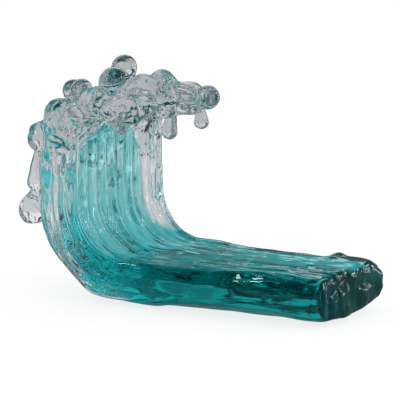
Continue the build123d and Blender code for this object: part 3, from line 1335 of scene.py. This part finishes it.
@dataclass
class Studio:
    """Floor, light, world and camera. Levels are brightnesses, and shares are parts of one."""

    target: Vector = field(default_factory=lambda: Vector((0.0, 0.0, 0.084)))
    distance: float = 2.0
    azimuth: float = 34.0
    elevation: float = 9.0
    lens: float = 216.0
    sensor: float = 36.0
    softboxes: tuple[Softbox, ...] = (
        Softbox("key_softbox", (-0.75, -1.05, 0.95), (0.14, 0.12), 0.6),
        Softbox("fill_softbox", (1.3, -0.7, 0.8), (0.08, 0.2), 0.25),
        Softbox("strip_back", (0.50, 1.05, 0.55), (0.07, 0.9), 2.0),
        Softbox("strip_right", (1.10, 0.70, 0.55), (0.07, 0.9), 2.0),
        Softbox("back_softbox", (-0.9, 1.0, 1.1), (0.9, 0.4), 2.0),
    )
    flag_scale: Triple = (6.0, 6.0, 2.4)
    flag_edge: Span = Span(0.44, 0.51)
    flag_levels: Span = Span(0.05, 1.0)
    backdrop: Span = Span(0.90, 0.99)
    backdrop_share: float = 0.15
    backdrop_level: float = 0.70
    room: Span = Span(-0.1, 0.5)
    room_base: float = 0.10
    room_level: float = 0.12
    room_green: float = 0.96
    room_blue: float = 0.98
    panel: Span = Span(0.5, 0.9)
    panel_level: float = 0.15
    daylight: float = 1.25
    floor_size: float = 40.0
    floor_drop: float = 0.0003
    grain_scale: float = 60.0
    grain_detail: float = 4.0
    grain_levels: Span = Span(0.78, 0.84)
    under: Span = Span(0.15, 0.45)
    under_level: float = 0.66
    under_tone: Triple = (1.0, 0.955, 0.975)
    pale_base: float = 0.48
    pale_flags: float = 0.22
    sheen: Span = Span(0.93, 0.98)
    sheen_level: float = 2.4
    sheen_start: Span = Span(0.35, 0.50)
    sheen_base: float = 0.12
    camera_share: float = 0.8
    through_share: float = 0.85
    mirror_share: float = 0.97

    def build(self) -> None:
        """Set the whole studio."""
        self._world()
        self._floor()
        for softbox in self.softboxes:
            self._lamp(softbox)
        self._camera()
        scene = bpy.context.scene
        scene.view_settings.view_transform = "Standard"
        scene.cycles.max_bounces = 40
        scene.cycles.transmission_bounces = 32
        scene.cycles.glossy_bounces = 8
        scene.cycles.transparent_max_bounces = 96
        scene.cycles.use_denoising = True

    @staticmethod
    def _bent_rays(graph: Graph, rays: bpy.types.Node) -> tuple[Socket, Socket]:
        """Tell the rays that glass has bent. A refracted ray counts as glossy too.

        Args:
            graph: graph of the material or world.
            rays: its Light Path node.

        Returns:
            Masks of all bent rays, and of the mirrored ones alone.
        """
        glossy, through = rays.outputs["Is Glossy Ray"], rays.outputs["Is Transmission Ray"]
        return graph.math("MAXIMUM", glossy, through), graph.math("SUBTRACT", glossy, through)

    def _flags(self, graph: Graph, aim: Socket) -> Socket:
        """Set dark flags and pale panels round the studio.

        Args:
            graph: graph of the material or world.
            aim: direction looked along.

        Returns:
            Brightness along that direction.
        """
        place = graph.add("ShaderNodeVectorMath", operation="MULTIPLY", i0=aim, i1=self.flag_scale)
        return graph.ramp(graph.noise(place.outputs[0], 1.0, 1.0), self.flag_edge, self.flag_levels)

    def _world(self) -> None:
        """Set white for the camera, and studio greys for reflections and refractions."""
        world = bpy.data.worlds.new("studio_world")
        bpy.context.scene.world = world
        world.use_nodes = True
        graph = Graph(world.node_tree)
        rays = graph.add("ShaderNodeLightPath")
        bent, mirrored = self._bent_rays(graph, rays)
        shade = self._room(graph, mirrored)
        tone = graph.add("ShaderNodeCombineColor", i0=shade)
        graph.link(graph.math("MULTIPLY", shade, self.room_green), tone.inputs[1])
        graph.link(graph.math("MULTIPLY", shade, self.room_blue), tone.inputs[2])
        room = graph.add("ShaderNodeBackground", Color=tone.outputs[0])
        plain = graph.add("ShaderNodeBackground", Color=WHITE, Strength=self.daylight)
        white = graph.add("ShaderNodeBackground", Color=WHITE)
        mixed = graph.add("ShaderNodeMixShader", i0=bent, i1=plain.outputs[0], i2=room.outputs[0])
        shown = graph.add("ShaderNodeMixShader", i0=rays.outputs["Is Camera Ray"], i1=mixed.outputs[0])
        graph.link(white.outputs[0], shown.inputs[2])
        graph.add("ShaderNodeOutputWorld", Surface=shown.outputs[0])

    def _room(self, graph: Graph, mirrored: Socket) -> Socket:
        """Set the room that the glass shows: flags through it, and a dim panel in its mirror.

        Args:
            graph: graph of the world.
            mirrored: mask of mirrored rays.

        Returns:
            Brightness of the room.
        """
        aim = graph.add("ShaderNodeTexCoord").outputs["Generated"]
        away = graph.dot(aim, TO_BACKDROP)
        share = graph.math("MULTIPLY", graph.ramp(away, self.backdrop), self.backdrop_share)
        through = graph.ramp(share, to=(self._flags(graph, aim), self.backdrop_level))
        behind = graph.math("ADD", graph.ramp(away, self.room), self.room_base)
        beside = graph.ramp(graph.dot(aim, TO_SIDE), self.panel)
        low = graph.math("MULTIPLY", behind, self.room_level)
        mirror = graph.math("ADD", low, graph.math("MULTIPLY", beside, self.panel_level))
        return graph.ramp(mirrored, to=(through, mirror))

    def _floor(self) -> None:
        """Lay a pale floor that keeps a soft shadow."""
        bpy.ops.object.select_all(action="DESELECT")
        bpy.ops.mesh.primitive_plane_add(size=self.floor_size, location=(0.0, 0.0, -self.floor_drop))
        floor = bpy.context.active_object
        floor.name = "floor"
        floor.data.materials.append(self._floor_paper())

    def _floor_paper(self) -> bpy.types.Material:
        """Build the floor's paper: white to the lens, and toned where the glass shows it.

        Returns:
            The material.
        """
        made = bpy.data.materials.new("floor_paper")
        made.use_nodes = True
        graph = Graph(made.node_tree)
        rays = graph.add("ShaderNodeLightPath")
        bent, mirrored = self._bent_rays(graph, rays)
        spot = graph.add("ShaderNodeTexCoord").outputs["Object"]
        grain = graph.ramp(graph.noise(spot, self.grain_scale, self.grain_detail), to=self.grain_levels)
        colour = graph.add("ShaderNodeCombineColor", i0=grain, i1=grain, i2=grain)
        paper = graph.add("ShaderNodeBsdfDiffuse", Color=colour.outputs[0])
        under, sheen = self._floor_levels(graph, spot)
        glow = graph.add("ShaderNodeEmission", Color=WHITE)
        below = graph.add("ShaderNodeEmission", Color=(*self.under_tone, 1.0), Strength=under)
        mirror = graph.add("ShaderNodeEmission", Color=WHITE, Strength=sheen)
        toned = graph.add("ShaderNodeMixShader", i0=mirrored, i1=below.outputs[0], i2=mirror.outputs[0])
        lit = graph.add("ShaderNodeMixShader", i0=bent, i1=glow.outputs[0], i2=toned.outputs[0])
        share = graph.math("MULTIPLY", rays.outputs["Is Camera Ray"], self.camera_share)
        shares = ((rays.outputs["Is Transmission Ray"], self.through_share), (mirrored, self.mirror_share))
        for ray, part in shares:
            share = graph.math("ADD", share, graph.math("MULTIPLY", ray, part))
        surface = graph.add("ShaderNodeMixShader", i0=share, i1=paper.outputs[0], i2=lit.outputs[0])
        graph.add("ShaderNodeOutputMaterial", Surface=surface.outputs[0])
        return made

    def _floor_levels(self, graph: Graph, spot: Socket) -> tuple[Socket, Socket]:
        """Set how bright the glass shows the floor.

        Args:
            graph: graph of the floor's paper.
            spot: place on the floor.

        Returns:
            Brightness seen through the glass, and in its mirror.
        """
        reach = graph.add("ShaderNodeVectorMath", operation="LENGTH", i0=spot).outputs["Value"]
        aim = graph.add("ShaderNodeVectorMath", operation="NORMALIZE", i0=spot).outputs[0]
        flags = graph.math("MULTIPLY", self._flags(graph, aim), self.pale_flags)
        pale = graph.math("ADD", flags, self.pale_base)
        under = graph.ramp(reach, self.under, (self.under_level, pale))
        sheen = graph.ramp(graph.dot(aim, TO_SIDE), self.sheen, (0.0, self.sheen_level))
        far = graph.ramp(reach, self.sheen_start)
        return under, graph.math("ADD", graph.math("MULTIPLY", sheen, far), self.sheen_base)

    def _lamp(self, softbox: Softbox) -> None:
        """Add one softbox aimed at the wave.

        Args:
            softbox: lamp to add.
        """
        lamp = bpy.data.lights.new(softbox.name, "AREA")
        lamp.shape = "RECTANGLE"
        lamp.size, lamp.size_y = softbox.size
        lamp.energy = softbox.power
        obj = bpy.data.objects.new(softbox.name, lamp)
        bpy.context.scene.collection.objects.link(obj)
        obj.location = softbox.place
        obj.visible_camera = False
        obj.visible_transmission = False
        obj.rotation_euler = (self.target - Vector(softbox.place)).to_track_quat("-Z", "Y").to_euler()

    def _camera(self) -> None:
        """Put the camera at the photograph's angle."""
        turn, lift = math.radians(self.azimuth), math.radians(self.elevation)
        arm = Vector((math.sin(turn) * math.cos(lift), -math.cos(turn) * math.cos(lift), math.sin(lift)))
        camera = bpy.data.cameras.new("camera")
        camera.lens = self.lens
        camera.sensor_width = self.sensor
        obj = bpy.data.objects.new("camera", camera)
        bpy.context.scene.collection.objects.link(obj)
        obj.location = self.target + arm * self.distance
        obj.rotation_euler = (-arm).to_track_quat("-Z", "Y").to_euler()
        bpy.context.scene.camera = obj


DRIPS = ("lip_long_drip", "lip_near_drip", "lip_tip_drip")
BACK_DROPS = ("back_drop_large", "back_drop_far", "back_drop_small", "back_middle_lump")
BALLS = ("crest_front_ball", "crest_top_ball", "shoulder_ball_near", "shoulder_ball_back", "lip_tip_ball")
LUMPS = (
    "near_shoulder_lump", "back_shoulder_lump", "near_fold_back", "near_fold_middle", "near_fold_front",
    "crest_back_lump", "far_shoulder_lump", "far_fold_lump", "crest_middle_lump", "far_crest_lump",
    "lip_top_lump", "lip_front_lump_near", "lip_front_lump_middle", "lip_front_lump_far",
)


def main() -> None:
    """Build, dress and light the wave, and log its face counts."""
    logging.basicConfig(level=logging.INFO, format="%(name)s: %(message)s")
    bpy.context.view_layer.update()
    profile = WaveProfile()
    shears = GlassShears()
    effects = SharedEffects()
    finishes = {Slot.CLEAR: CLEAR.material(effects), Slot.TEAL: TEAL.material(effects)}
    noise = FlowNoise(NOISE_SEED)
    late = DRIPS + BACK_DROPS + BALLS
    body = HotGlass(profile, noise, late).build()
    log.info("hot glass: %d faces", len(body.data.polygons))
    bits = HotBits(profile, shears, finishes, noise, names=late + LUMPS)
    bits.build(body)
    wave = WaveBody(profile, shears, finishes, noise)
    wave.build(body)
    for group in (wave, bits):
        group.dress()
        for name, obj in group.made.items():
            log.info("%s: %d faces", name, len(obj.data.polygons))
    Studio().build()


if __name__ == "__main__":
    main()
